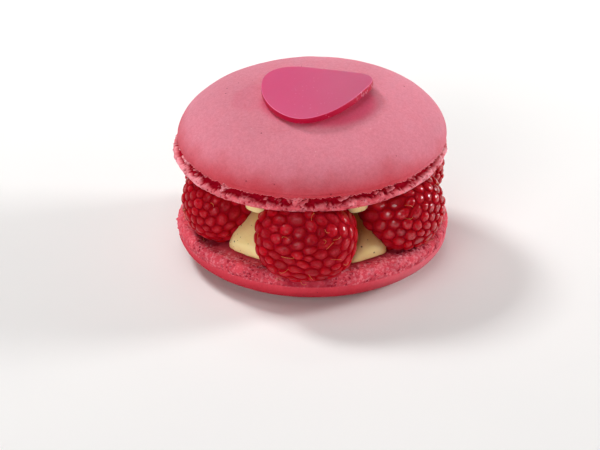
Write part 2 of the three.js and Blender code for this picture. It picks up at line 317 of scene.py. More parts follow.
def turned_on_wheel(name, outline, steps):
    """A round piece from its outline, as clay on a wheel: points of (radius, height)."""
    bpy.ops.object.select_all(action="DESELECT")
    bpy.ops.mesh.primitive_plane_add(size=MM, location=(0, 0, 0))
    piece = bpy.context.object
    piece.name = name
    edit_all_points()
    bpy.ops.mesh.merge(type="CENTER")
    radius, height = outline[0]
    bpy.ops.transform.translate(value=(radius, 0, height))
    for (radius, height), (next_radius, next_height) in zip(outline, outline[1:]):
        step = {"value": (next_radius - radius, 0, next_height - height)}
        bpy.ops.mesh.extrude_region_move(TRANSFORM_OT_translate=step)
    bpy.ops.mesh.select_all(action="SELECT")
    bpy.ops.mesh.spin(steps=steps, angle=2 * math.pi, center=(0, 0, 0), axis=(0, 0, 1))
    close_mesh(WELD_DISTANCE)
    return piece


def place_piece(piece, middle, tilt):
    """Turns and moves a finished piece, and keeps its place in its mesh."""
    pick_only(piece)
    piece.rotation_euler = tilt
    piece.location = middle
    bpy.ops.object.transform_apply(location=True, rotation=True, scale=True)


def count_faces(piece):
    """Prints how many triangles a piece has."""
    piece.data.calc_loop_triangles()
    print(piece.name, "has", len(piece.data.loop_triangles), "triangles")


print("helpers for pieces ready")

# %% [markdown]
# ## Shells
# A macaron shell is piped almond meringue. Its top dries to a smooth skin, and in the oven
# the wet batter lifts that skin and foams out below it as a ruffled foot. The skin's torn
# edge hangs over deep red hollows, and under them a paler lip runs round.
#
# Each shell's profile is spun round its axis, as on a potter's wheel. The foot then gets
# finer faces, and geometry nodes push hollows, pits and crumbs in and out of it, because
# such foam is random, and too fine to pull by hand.

# %% Shell profiles
FOOT_RADIUS = 34.4 * MM
# the caps, in mm: a roundness of 1 gives an ellipse, and less gives fuller shoulders
TOP_CAP = {
    "foot_height": 3.6, "dome_radius": 33.7, "dome_height": 13.2,
    "flat_radius": 0, "roundness": 0.85, "rings": 56,
}
BOTTOM_CAP = {
    "foot_height": 3.3, "dome_radius": 34.3, "dome_height": 6.6,
    "flat_radius": 19, "roundness": 0.86, "rings": 22,
}
CAP_START = 0.05  # share of the quarter turn up the dome where the cap leaves the hem
# the open side and the feet: points of (radius, height) in mm
OPEN_SIDE = [(0, 0), (8, 0), (16, 0), (22, 0), (26, 0), (28, 0.02), (29.4, 0.1)]
TOP_FOOT = [
    (30.4, 0.14), (31.2, 0.12), (31.9, 0.05), (32.4, 0.0), (32.9, 0.02), (33.3, 0.1),
    (33.65, 0.26), (33.92, 0.46), (34.1, 0.72), (34.2, 1.0), (34.18, 1.26), (34.05, 1.5),
    (33.88, 1.72), (33.7, 1.92), (33.54, 2.12), (33.4, 2.32), (33.3, 2.52), (33.24, 2.72),
    (33.2, 2.92), (33.16, 3.12), (33.1, 3.32), (33.02, 3.46), (33.14, 3.54), (33.3, 3.62),
    (33.44, 3.78), (33.52, 4.0), (33.56, 4.25),
]
BOTTOM_FOOT = [
    (30.2, 0.16), (30.9, 0.16), (31.5, 0.1), (32.0, 0.03), (32.5, -0.02), (32.9, 0.0),
    (33.25, 0.1), (33.6, 0.28), (33.88, 0.52), (34.1, 0.8), (34.27, 1.1), (34.37, 1.42),
    (34.4, 1.74), (34.36, 2.04), (34.28, 2.32), (34.2, 2.56), (34.13, 2.78), (34.1, 3.0),
    (34.1, 3.22), (34.14, 3.44), (34.18, 3.68),
]


def cap_profile(foot_height, dome_radius, dome_height, flat_radius, roundness, rings):
    """Points up the smooth cap, from just above its hem to its middle."""
    points = []
    for k in range(rings + 1):
        turn = (CAP_START + (1 - CAP_START) * k / rings) * math.pi / 2
        out = math.cos(turn) ** roundness if k < rings else 0.0
        radius = flat_radius + (dome_radius - flat_radius) * out
        points.append((radius, foot_height + dome_height * math.sin(turn)))
    if flat_radius > 0:
        top = foot_height + dome_height
        points += [(flat_radius * share, top) for share in (0.75, 0.5, 0.25, 0.0)]
    return points


def in_mm(points):
    """Points given in millimetres, in metres."""
    return [(radius * MM, height * MM) for radius, height in points]


top_profile = in_mm(OPEN_SIDE + TOP_FOOT + cap_profile(**TOP_CAP))
bottom_profile = in_mm(OPEN_SIDE + BOTTOM_FOOT + cap_profile(**BOTTOM_CAP)[1:])
print("profile points:", len(top_profile), len(bottom_profile))

# %% Spin both shells
SPIN_STEPS = 480
FINE_RADIUS = 29 * MM


def finer_foot(shell, low, high):
    """Cuts the faces of the foot, between two heights, into four each."""
    pick_only(shell)
    bpy.ops.object.mode_set(mode="EDIT")
    bpy.ops.mesh.select_all(action="DESELECT")
    bpy.ops.mesh.select_mode(type="FACE")
    bpy.ops.object.mode_set(mode="OBJECT")
    for face in shell.data.polygons:
        middle = face.center
        outside = math.hypot(middle.x, middle.y) > FINE_RADIUS
        face.select = low < middle.z < high and outside
    bpy.ops.object.mode_set(mode="EDIT")
    bpy.ops.mesh.subdivide(number_cuts=1, smoothness=0)
    bpy.ops.object.mode_set(mode="OBJECT")


shell_top = turned_on_wheel("almond_shell_top", top_profile, SPIN_STEPS)
finer_foot(shell_top, low=-1 * MM, high=5.3 * MM)
shell_bottom = turned_on_wheel("almond_shell_bottom", bottom_profile, SPIN_STEPS)
finer_foot(shell_bottom, low=-1 * MM, high=3.6 * MM)
count_faces(shell_top)
count_faces(shell_bottom)

# %% Helpers for round pieces


def round_axis(tree):
    """Place, radius, height, the direction outwards, and the place on a wall round the axis."""
    place = add(tree, "GeometryNodeInputPosition")
    x, y, z = parts(place)
    flat = joined(tree, x, y, 0.0)
    outwards = vector_maths("NORMALIZE", flat)
    radius = vector_maths("LENGTH", flat, output="Value")
    wall = scaled(outwards, FOOT_RADIUS)
    return place, radius, z, outwards, wall


def shifted(mesh, moves, **kept):
    """Moves the mesh's points by the sum of the moves, and keeps named numbers on them."""
    for name, value in kept.items():
        mesh = stored(mesh, name, value)
    offset = moves[0]
    for move in moves[1:]:
        offset = vector_maths("ADD", offset, move)
    return add(mesh.tree, "GeometryNodeSetPosition", {"Geometry": mesh, "Offset": offset})


print("outer radius in mm:", round(FOOT_RADIUS / MM, 1))

# %% Foam and hollows of the top shell
# levels of the foot's end, the hem with its edge, a fold in the skin, and the smooth cap
FOOT_END = (3.4 * MM, 3.65 * MM)
HEM = (3.35 * MM, 3.55 * MM, 3.75 * MM, 4.9 * MM)
HEM_EDGE = (3.5 * MM, 3.6 * MM, 3.64 * MM, 4.0 * MM)
FOLD = (4.5 * MM, 4.75 * MM, 4.8 * MM, 5.1 * MM)
SMOOTH_CAP = (4.6 * MM, 7 * MM)
# how far each kind of relief goes in or out
RUFFLE, LUMP, HOLLOW = 0.4 * MM, 0.45 * MM, 1.3 * MM
GRAIN, PIT, CREASE = 0.16 * MM, 0.25 * MM, 0.22 * MM

tree, mesh = new_relief("foam_top")
place, radius, height, outwards, wall = round_axis(tree)
normal = add(tree, "GeometryNodeInputNormal")
x, y, _ = parts(place)

foot = height.between(*FOOT_END, 1, 0)
foam_band = foot * radius.between(31.5 * MM, 33 * MM)
ruffle = cloudy(wall, 6 * MM, 1.0, detail=1) * RUFFLE * foam_band
squat = joined(tree, x, y, height * 1.8)
fine_crumbs = cloudy(squat, 1.1 * MM, 3.0, roughness=0.6)
crumbs = cloudy(squat, 2.7 * MM, 2.0) * 0.9 + fine_crumbs * 0.55
torn = crumbs + height.between(0.9 * MM, 2.3 * MM, 0.5, -0.1) + cloudy(wall, 7 * MM, 9.0) * 0.3
hollows = torn.between(-0.1, 0.14, 1, 0) * foam_band
lumps = crumbs.between(0.0, 0.6) * foam_band
grains = cloudy(place, 0.7 * MM, 3.5, roughness=0.6) * foam_band
pits = bubbly(place, 0.9 * MM, 4.0).between(0.12, 0.36, 1, 0) * foam_band
ragged = cloudy(wall, 1.4 * MM, 5.0) * 0.8 + cloudy(wall, 0.55 * MM, 5.5, detail=1) * 0.65
hem = ragged * MM * height.band(*HEM)
rim = height.band(*HEM_EDGE) * cloudy(place, 0.9 * MM, 10.0).between(-0.3, 0.25)
fold = height.band(*FOLD) * cloudy(wall, 8 * MM, 7.5).between(-0.35, 0.1)
swell = cloudy(place, 13 * MM, 6.0) * 0.3 * MM + cloudy(place, 4 * MM, 7.0) * 0.08 * MM
swell = swell * height.between(*SMOOTH_CAP)
moves = [
    scaled(outwards, ruffle + lumps * LUMP - hollows * HOLLOW),
    scaled(normal, swell + grains * GRAIN - pits * PIT - fold * CREASE),
    joined(tree, height.between(1.8 * MM, 3.4 * MM) * CAP_SHIFT, 0.0, hem),
]
print("foam tree has", len(tree.nodes), "nodes")

# %% Stains of the top shell
# the painted shadow of the petal on the skin: the middle of its ring, the ring's half axes, and a
# fainter painted shadow beside it
BLUSH_X, BLUSH_Y = 1.9 * MM, -7.3 * MM
BLUSH_LENGTH, BLUSH_WIDTH = 14 * MM, 11.5 * MM
PATCH_X, PATCH_Y = -13 * MM, -3.5 * MM

mottled = cloudy(place, 1.1 * MM, 11.0, detail=3, roughness=0.6) * foam_band
deep = mottled.between(-0.6, -0.1, 1, 0) * foam_band
# The hollows, pits and the skin's fold get the darker, redder hollow colour: partly the foam's own
# colour and partly painted shade; random deep patches get it too
hollow = (hollows * 0.85 + pits * 0.5 + deep * 0.4).maths("MINIMUM", 0.9) + fold * 0.2
# Painted light: the foot is painted paler towards its left and right sides, and the torn hem's edge
# is painted paler as a painted highlight; the paler lumps and mottles are real crumbs
at_sides = parts(outwards)[0].maths("ABSOLUTE").between(0.4, 0.9) * 0.65
crumb = (lumps * 0.7 + mottled.between(0.05, 0.6) + at_sides) * (1 - hollows * 0.9) * foot
crumb = rim * 0.7 + crumb
# Painted shadow: the skin is made darker and redder in a ring round the petal and in a fainter
# patch to its left, only high on the dome
along, across = (x - BLUSH_X) * (1 / BLUSH_LENGTH), (y - BLUSH_Y) * (1 / BLUSH_WIDTH)
blush = flat_length(along, across).between(0.86, 1.1, 1, 0)
from_patch = flat_length(x - PATCH_X, y - PATCH_Y)
blush = blush + from_patch.between(5.5 * MM, 7.5 * MM, 0.22, 0)
blush = blush.maths("MINIMUM", 1.0) * height.between(7 * MM, 9 * MM)
# Painted shade: low on the dome the skin is painted darker and redder, less so towards its left and
# right sides
rise = height + cloudy(place, 5 * MM, 8.0) * 2.0 * MM
sides = x.between(18 * MM, 33 * MM) + x.between(-31 * MM, -18 * MM, 0.25, 0)
rise = (rise.between(3.6 * MM, 11.5 * MM) + sides * 0.6).maths("MINIMUM", 1.0)
spongy = foam_band * (1 - hollows) * 0.55
mesh = shifted(mesh, moves, hollow=hollow, foot=foot, rise=rise, crumb=crumb,
               spongy=spongy, blush=blush)
run_relief(shell_top, finish_relief(mesh))
bpy.ops.object.shade_smooth()
place_piece(shell_top, TOP_PLACE, TOP_TURN)
count_faces(shell_top)

# %% Foam, pits and crumbs of the bottom shell
# bearings from the front, and the cosine of how far each stretch reaches
CRUMBLY = [(48, 0.93), (-84, 0.96), (150, 0.95), (-150, 0.96)]
SPONGY = [(42, 0.78), (-36, 0.86), (180, 0.6)]
# under these berries the open side is painted darker and redder further out: juice stains and
# painted shade
JUICY = [(-2, 0.95), (55, 0.955), (-63, 0.96)]
VERY_JUICY = [(-3, 0.95)]
STRETCH_END = 0.04


def towards(direction, bearing, front):
    """Cosine of the turn from a bearing. `front` is -1, or 1 for a shell upside down."""
    turn = math.radians(bearing)
    middle = joined(direction.tree, math.sin(turn), front * math.cos(turn), 0.0)
    return vector_maths("DOT_PRODUCT", direction, middle, output="Value")


tree, mesh = new_relief("foam_bottom")
place, radius, height, outwards, wall = round_axis(tree)
normal = add(tree, "GeometryNodeInputNormal")


def stretches(bearings):
    """1 on the stretches of the ring round some bearings, and 0 between them."""
    mask = None
    for bearing, edge in bearings:
        stretch = towards(outwards, bearing, front=1).between(edge, edge + STRETCH_END)
        mask = stretch if mask is None else mask.maths("MAXIMUM", stretch)
    return mask


open_side = height.between(2.9 * MM, 3.5 * MM, 1, 0)
roll = radius.between(28.5 * MM, 30.5 * MM) * open_side
ruffle = cloudy(wall, 7 * MM, 11.0, detail=1) * RUFFLE * roll
inner_half = radius.between(32.2 * MM, 33.2 * MM, 1, 0.3)
patches = cloudy(place, 4.5 * MM, 12.0).between(-0.6, 0.1)
spongy = stretches(SPONGY) * patches * inner_half * roll
fine_sponge = cloudy(place, 0.7 * MM, 14.0, roughness=0.6)
sponge = cloudy(place, 1.5 * MM, 13.0, detail=1) * 0.7 + fine_sponge * 0.8
pits = sponge.between(-0.42, -0.15, 1, 0) * (spongy * 0.9 + 0.1) * roll
grains = cloudy(place, 0.8 * MM, 21.0, detail=3, roughness=0.65)
crumbs = bubbly(place, 1.1 * MM, 15.0).between(0.1, 0.5, 1, 0) * stretches(CRUMBLY) * roll
crumbs = crumbs * cloudy(place, 2.4 * MM, 16.0).between(-0.4, 0.2)
rounding = height.between(9.0 * MM, 9.6 * MM, 1, 0)
swell = cloudy(place, 12 * MM, 18.0) * 0.12 * MM + cloudy(place, 2.2 * MM, 19.0) * 0.03 * MM
lean = cloudy(place, 2.6 * MM, 20.0, detail=3) * 0.16 * MM * roll
fine_relief = (grains * 0.18 + sponge * spongy * 0.12) * MM * roll
push = swell * rounding + lean + crumbs * 0.6 * MM + fine_relief - pits * 0.3 * MM
moves = [scaled(outwards, ruffle), scaled(normal, push)]
print("foam tree has", len(tree.nodes), "nodes")

# %% Juice stains, painted shade and painted light of the bottom shell
# Near the cream and the berries the open side gets the darker, redder hollow colour: partly juice
# stains and partly painted shade, reaching further out under the berries and most under the front
# one
under_berries = stretches(JUICY)
soaked = under_berries * 2.2 * MM + stretches(VERY_JUICY) * 2.6 * MM
juice = (radius - soaked).between(28.5 * MM, 31.4 * MM, 1, 0)
juice = juice * (cloudy(place, 2.5 * MM, 22.0) * 0.5 + 0.75) * open_side
mottled = cloudy(place, 1.3 * MM, 23.0, detail=3, roughness=0.6) + cloudy(place, 4 * MM, 24.0) * 0.4
deep = mottled.between(-0.5, 0.0, 1, 0) * (spongy * 0.6 + 0.15) * roll
hollow = pits * 0.6 + deep * 0.3 + juice * (under_berries * 0.25 + 0.5)
# Painted light: the right of the band is painted paler
bright_side = parts(place)[0].between(8 * MM, 30 * MM, 0, 0.3) * (1 - open_side)
pale = (mottled + sponge * spongy).between(0.05, 0.7) * roll * (1 - juice) * 0.75
crumb = crumbs * 0.8 + pale + bright_side
uneven = height + cloudy(wall, 3 * MM, 25.0) * 0.6 * MM
frothy = (spongy * 0.7 + 0.3) * roll * radius.between(29.5 * MM, 31.5 * MM, 0.25, 1)
mesh = shifted(mesh, moves, hollow=hollow, foot=uneven.between(2.0 * MM, 5.4 * MM, 1, 0),
               rise=height.between(3.3 * MM, 9 * MM), crumb=crumb, spongy=frothy, blush=0.0)
run_relief(shell_bottom, finish_relief(mesh))
bpy.ops.object.shade_smooth()
place_piece(shell_bottom, (0, 0, BOTTOM_LIP), (math.pi, 0, 0))
count_faces(shell_bottom)

# %% [markdown]
# ## Crust
# Both shells share one finish: a matt skin with fine almond grain, a few open pores and pale
# specks, darker and redder in its hollows and paler on its crumbs. The darkness of the hollows and
# pores is partly painted shade. Some colour is painted light and shade only: painted shade low on
# the top dome, a painted shadow round the petal, painted shade with the juice stains near the
# berries, and paler painted light on some sides. The effect is a node group, so that each shell
# gives it its own colours.

# %% Helpers for materials


def colour(*screen):
    """A colour as seen on a screen, 0 to 255, as the light values that a shader takes."""
    lights = [((c / 255 + 0.055) / 1.055) ** 2.4 if c > 10 else c / 3295 for c in screen]
    return (*lights, 1.0)


def mixed(share, first, second, blend="MIX"):
    """Two colours mixed: the first at share 0, the second at 1."""
    tree = (share if isinstance(share, Field) else first).tree
    inputs = {0: share, 6: first, 7: second}
    return add(tree, "ShaderNodeMix", inputs, 2, data_type="RGBA", blend_type=blend)


def new_material(name, *pieces):
    """A material for some pieces: its tree, its shader, and the place on a piece in metres."""
    material = bpy.data.materials.new(name)
    material.use_nodes = True
    for piece in pieces:
        piece.data.materials.append(material)
    print(name, "is on", ", ".join(piece.name for piece in pieces))
    tree = material.node_tree
    place = add(tree, "ShaderNodeTexCoord", output="Object")
    return tree, tree.nodes["Principled BSDF"], place


def feed(tree, shader, **inputs):
    """Links or sets a shader's sockets: Base_Color for Base Color, and so on."""
    fill(tree, shader, {name.replace("_", " "): value for name, value in inputs.items()})


def bumped(height, depth):
    """A normal from a height field whose full range is a depth in metres."""
    inputs = {"Height": height, "Distance": depth, "Strength": 1.0}
    return add(height.tree, "ShaderNodeBump", inputs, "Normal")


def kept_number(tree, name):
    """A number that the modelling steps kept on the mesh."""
    return add(tree, "ShaderNodeAttribute", output="Fac", attribute_name=name)


print("material helpers ready")

# %% Helpers for shader node groups


def new_effect(name, inputs, outputs):
    """A shader node group with named sockets: its tree and its input fields."""
    tree = bpy.data.node_groups.new(name, "ShaderNodeTree")
    kinds = {"v": "NodeSocketVector", "c": "NodeSocketColor", "f": "NodeSocketFloat"}
    for way, sockets in (("INPUT", inputs), ("OUTPUT", outputs)):
        for label, kind in sockets:
            tree.interface.new_socket(label, in_out=way, socket_type=kinds[kind])
    source = tree.nodes.new("NodeGroupInput")
    return tree, [Field(tree, source.outputs[k]) for k in range(len(inputs))]


def end_effect(tree, fields):
    """Links the fields that a shader node group puts out."""
    out = tree.nodes.new("NodeGroupOutput")
    for k, field in enumerate(fields):
        tree.links.new(field.socket, out.inputs[k])


def use_effect(tree, group, inputs):
    """Places a node group in a material and gives all its outputs."""
    made = tree.nodes.new("ShaderNodeGroup")
    made.node_tree = group
    fill(tree, made, inputs)
    return [Field(tree, socket) for socket in made.outputs]


# %% Sprinkled specks, for every finish that has them
specks, (place, spacing, share, width) = new_effect(
    "specks", [("Place", "v"), ("Spacing", "f"), ("Share", "f"), ("Width", "f")], [("Mask", "f")]
)
scale = add(specks, "ShaderNodeMath", {0: 1.0, 1: spacing}, operation="DIVIDE")
cell = {"Vector": place, "Scale": scale}
distance = add(specks, "ShaderNodeTexVoronoi", cell, "Distance")
chosen = parts(distance.output("Color"))[0].maths("LESS_THAN", share)
end_effect(specks, [distance.maths("LESS_THAN", width) * chosen])


def speckled(place, spacing, share, width):
    """1 on specks, 0 between them: some share of the cells has one, its width in spacings."""
    inputs = {"Place": place, "Spacing": spacing, "Share": share, "Width": width}
    return use_effect(place.tree, specks, inputs)[0]


print("specks effect has", len(specks.nodes), "nodes")

# %% Floor finish
tree, shader, place = new_material("pale_sheet", floor)
paper = cloudy(place, 40 * MM, 60.0)
shade = mixed(paper * 0.5 + 0.5, colour(250, 248, 246), colour(246, 244, 243))
relief = cloudy(place, 3 * MM, 61.0)
feed(tree, shader, Base_Color=shade, Roughness=paper * 0.04 + 0.8, Specular_IOR_Level=0.1,
     Normal=bumped(relief, 0.01 * MM))

# %% The crust effect
CRUST_MASKS = ("Hollow", "Foot", "Rise", "Crumb", "Spongy", "Blush")
CRUST_COLOURS = ("Skin", "Skin low", "Foot colour", "Hollow colour", "Crumb colour")
BLUSH_TINT = (0.94, 0.4, 0.58, 1)
BLOTCH_TINT = (1.0, 0.75, 0.8, 1)
GRAIN_DARK = (0.93, 0.87, 0.88, 1)
GRAIN_LIGHT = (1.06, 1.1, 1.1, 1)
PALE_SPECK = colour(248, 200, 200)
DARK_SPECK = colour(120, 30, 45)

sockets = [("Place", "v")]
sockets += [(label, "f") for label in CRUST_MASKS] + [(label, "c") for label in CRUST_COLOURS]
crust, (place, *given) = new_effect(
    "crust", sockets, [("Colour", "c"), ("Roughness", "f"), ("Height", "f")]
)
hollow, foot, rise, crumb, spongy, blush = given[:6]
skin, skin_low, foot_colour, hollow_colour, crumb_colour = given[6:]
grain = cloudy(place, 0.7 * MM, 1.0, detail=3, roughness=0.6)
blotches = cloudy(place, 9 * MM, 2.0)
# Low skin against high skin: on the top shell the darker, redder low skin is painted shade
shade = mixed(rise, skin_low, skin)
# Painted shadow of the petal: the skin is tinted darker and redder there
shade = mixed(blush, shade, mixed(1.0, shade, BLUSH_TINT, "MULTIPLY"))
shade = mixed(foot, shade, foot_colour)
lighter = mixed((blotches * 0.5 + 0.5) * 0.3, shade, BLOTCH_TINT, "SOFT_LIGHT")
fine = cloudy(place, 0.3 * MM, 3.0)
grainy = mixed((grain + fine * 0.7).between(-0.7, 0.7), GRAIN_DARK, GRAIN_LIGHT)
shade = mixed(1.0, lighter, grainy, "MULTIPLY")
fizz = cloudy(place, 0.8 * MM, 4.0, roughness=0.65)
bend = joined(crust, fizz * 0.5 * MM, fizz * -0.4 * MM, fine * 0.3 * MM)
bent = vector_maths("ADD", place, bend)
small = speckled(bent, 0.85 * MM, 0.5, 0.34)
large = speckled(bent, 1.5 * MM, 0.4, 0.3)
clusters = cloudy(place, 3.2 * MM, 5.0).between(-0.3, 0.15) * spongy.between(0.15, 0.5)
pores = small.maths("MAXIMUM", large) * clusters
froth = fizz.between(0.02, 0.22) * spongy
# Pale crumb colour on crumbs and froth, and on places painted paler as painted light
shade = mixed(crumb.maths("MAXIMUM", froth * 0.9), shade, crumb_colour)
# Hollow colour: partly the foam's own colour, partly painted shade in hollows and near the berries
shade = mixed(hollow.between(0.05, 0.75), shade, hollow_colour)
# Open pores painted as dark crimson dots: partly their own colour, partly painted shade
shade = mixed((pores * 0.85).maths("MAXIMUM", clusters * 0.3), shade, hollow_colour)
pale = speckled(place, 2.6 * MM, 0.3, 0.07)
dark = speckled(scaled(place, 1.31), 4.2 * MM, 0.35, 0.07)
shade = mixed(pale * 0.35, shade, PALE_SPECK)
shade = mixed(dark * 0.6, shade, DARK_SPECK)
rough = (grain * 0.08 + 0.72).maths("MAXIMUM", hollow * 0.9)
relief = grain * 0.5 + fine * 0.2 - dark * 1.2 + pale * 0.3 + froth * 1.3 - pores * 1.2
end_effect(crust, [shade, rough, relief])
print("crust effect has", len(crust.nodes), "nodes")

# %% The crust of both shells
CRUSTS = [  # each shell with its colours, in the order of the effect's sockets
    (shell_top, "baked_crust_top",
     (220, 132, 147), (198, 68, 78), (232, 100, 112), (170, 6, 34), (255, 174, 184)),
    (shell_bottom, "baked_crust_bottom",
     (166, 34, 46), (190, 50, 64), (224, 80, 94), (142, 0, 34), (255, 166, 180)),
]
for shell, name, *shades in CRUSTS:
    tree, shader, place = new_material(name, shell)
    inputs = {label: kept_number(tree, label.lower()) for label in CRUST_MASKS}
    inputs |= {label: colour(*shade) for label, shade in zip(CRUST_COLOURS, shades)}
    shade, rough, relief = use_effect(tree, crust, {"Place": place, **inputs})
    feed(tree, shader, Base_Color=shade, Roughness=rough, Specular_IOR_Level=0.02,
         Normal=bumped(relief, 0.07 * MM), Subsurface_Weight=0.45,
         Subsurface_Radius=(1.0, 0.3, 0.3), Subsurface_Scale=1.3 * MM)

# %% [markdown]
# ## Raspberries
# A raspberry is a cluster of some 120 drupelets, small round fruits that crowd each other
# in spiral rows from the tip to the inner end. Each one bulges out of a cell with five to
# seven sides. Points set by the golden angle give that order, the dual of the hull round
# them gives the cells, and every cell's face is pulled out in four steps into a bead.
# One node tree does this for all seven berries, each with its own size and seed.

# %% The seven berries
# name, bearing from the front, and in mm: reach from the axis, length, width, depth,
# height of the middle, spacing of the drupelets, and how far they stand out
RASPBERRIES = [
    ("front", -3.7, 27.3, 24.4, 25.4, 21.0, 17.3, 3.35, 0.78),
    ("left", -63, 25.0, 20.0, 20.6, 19.4, 18.2, 2.9, 0.82),
    ("right", 56, 24.8, 23.0, 23.6, 20.6, 18.0, 3.25, 0.9),
    ("side_left", -113, 24.6, 21.0, 19.4, 19.6, 18.4, 2.9, 0.85),
    ("side_right", 108, 24.3, 21.6, 18.6, 20.2, 18.6, 3.0, 0.85),
    ("back_left", -160, 23.8, 20.6, 18.6, 19.6, 18.4, 2.9, 0.85),
    ("back_right", 154, 23.6, 20.6, 18.2, 19.8, 18.5, 2.9, 0.85),
]
FULLNESS = 2.4  # 2 is an egg, and more has fuller shoulders
GOLDEN_ANGLE = math.pi * (3 - math.sqrt(5))
OUTER_SHARE = 0.71  # share of a berry's drupelets that its outer half has


def drupelet_count(length, width, depth, spacing):
    """How many drupelets give the wanted spacing, in mm, on the outer half."""
    mean = (length + width + depth) / 6
    cell = spacing**2 * math.sin(math.pi / 3)
    return round(2 * math.pi * mean**2 / cell / OUTER_SHARE)


print("drupelets on each:", [drupelet_count(*berry[3:6], berry[7]) for berry in RASPBERRIES])

# %% The drupelet tree
TIP_CROWDING = 0.58  # 1 spaces the drupelets evenly, and less crowds them at the tip
BEAD_STEPS = [  # how far out, how narrow, and the number kept there as the swell
    (0.3, 0.97, 0.35), (0.3, 0.87, 0.62), (0.26, 0.66, 0.85), (0.14, 0.38, 1.0),
]


def jitter(tree, amount, seed, index):
    """A random number either side of zero for each point or face."""
    # the float sockets of this node come second
    inputs = {2: -amount, 3: amount, "ID": index, "Seed": seed}
    return add(tree, "FunctionNodeRandomValue", inputs, 1, data_type="FLOAT")


def berry_tree(name, count, half, relief, seed):
    """A whole berry, its tip along +X, as a node tree."""
    tree, _ = new_relief(name)
    index = add(tree, "GeometryNodeInputIndex")
    along = (index + 0.5) * (1 / count)
    share = along * TIP_CROWDING + along**4.0 * (1 - TIP_CROWDING)
    x = 1 - share * 2 + jitter(tree, 0.006, seed, index)
    x = x.maths("MINIMUM", 0.998).maths("MAXIMUM", -0.995)
    around = index * GOLDEN_ANGLE + jitter(tree, 0.1, seed + 1, index)
    across = (1 - x * x).maths("SQRT")
    sites = joined(tree, x, across * around.maths("COSINE"), across * around.maths("SINE"))
    points = add(tree, "GeometryNodePoints", {"Count": count, "Position": sites})
    points = add(tree, "GeometryNodePointsToVertices", {"Points": points})
    hull = add(tree, "GeometryNodeConvexHull", {0: points})
    cells = add(tree, "GeometryNodeDualMesh", {"Mesh": hull})
    direction = vector_maths("NORMALIZE", add(tree, "GeometryNodeInputPosition"))
    total = sum((part * part) ** (FULLNESS / 2) for part in parts(direction))
    surface = scaled(direction, total ** (-1 / FULLNESS))
    sunk = vector_maths("MULTIPLY", surface, tuple(h - relief for h in half))
    cells = placed_at(cells, sunk)
    bead = jitter(tree, 0.5, seed + 2, index) + 0.5
    cells = stored(cells, "bead", bead, domain="FACE")
    cells = stored(cells, "swell", 0.0)
    kept_bead = add(tree, "GeometryNodeInputNamedAttribute", {"Name": "bead"}, data_type="FLOAT")
    lift = (kept_bead * 0.5 + 0.65) * relief
    selected = {}
    for out, narrow, swell in BEAD_STEPS:
        inputs = {"Mesh": cells, "Offset Scale": lift * out, "Individual": True, **selected}
        cells = add(tree, "GeometryNodeExtrudeMesh", inputs, "Mesh")
        selected = {"Selection": cells.output("Top")}
        inputs = {"Geometry": cells, "Scale": narrow, **selected}
        cells = add(tree, "GeometryNodeScaleElements", inputs)
        cells = stored(cells, "swell", swell, **selected)
    cells = add(tree, "GeometryNodeSubdivisionSurface", {"Mesh": cells, "Level": 2})
    return finish_relief(cells)


# %% What the shells press on
GIVE = 0.06  # share of its own height that a pressed place keeps
PAST_EDGE = 7 * MM


def press_tree():
    """Flattens what lies between the bottom shell's lip and the tilted top one's."""
    tree, mesh = new_relief("pressed_between_shells")
    x, y, z = parts(add(tree, "GeometryNodeInputPosition"))
    top_x, top_y = x - TOP_PLACE.x, y - TOP_PLACE.y
    lip = flat_length(x, y).between(
        33.4 * MM, 35.4 * MM, BOTTOM_LIP + 0.12 * MM, BOTTOM_LIP - PAST_EDGE)
    ceiling = flat_length(top_x, top_y).between(
        33.2 * MM, 35.2 * MM, TOP_PLACE.z - 0.1 * MM, TOP_PLACE.z + PAST_EDGE)
    ceiling = ceiling + top_x * math.tan(TOP_TILT) + top_y * math.tan(TOP_LEAN)
    z = z.maths("MAXIMUM", lip * (1 - GIVE) + z * GIVE)
    z = z.maths("MINIMUM", ceiling * (1 - GIVE) + z * GIVE)
    return finish_relief(placed_at(mesh, joined(tree, x, y, z)))


pressed = press_tree()
print("pressing tree has", len(pressed.nodes), "nodes")

# %% Grow the berries
raspberries = {}
for number, row in enumerate(RASPBERRIES):
    name, bearing, reach, *sizes, height, spacing, relief = row
    half = tuple(size / 2 * MM for size in sizes)
    bpy.ops.object.select_all(action="DESELECT")
    bpy.ops.mesh.primitive_ico_sphere_add(subdivisions=2, radius=half[0])
    berry = bpy.context.object
    berry.name = "raspberry_fruit_" + name
    count = drupelet_count(*sizes, spacing)
    run_relief(berry, berry_tree("drupelets_" + name, count, half, relief * MM, 10 * number))
    turn = math.radians(bearing - 90)
    middle = Vector((math.cos(turn) * reach, math.sin(turn) * reach, height)) * MM
    place_piece(berry, middle, (0, 0, turn))
    run_relief(berry, pressed)
    bpy.ops.object.shade_smooth()
    raspberries[name] = berry
    count_faces(berry)

# %% Raspberry skin
tree, shader, place = new_material("raspberry_skin", *raspberries.values())
swell = kept_number(tree, "swell")
bead = kept_number(tree, "bead")
mottle = cloudy(place, 1.0 * MM, 30.0, detail=3, roughness=0.75)
juicy = mixed(bead, colour(156, 4, 20), colour(190, 12, 32))
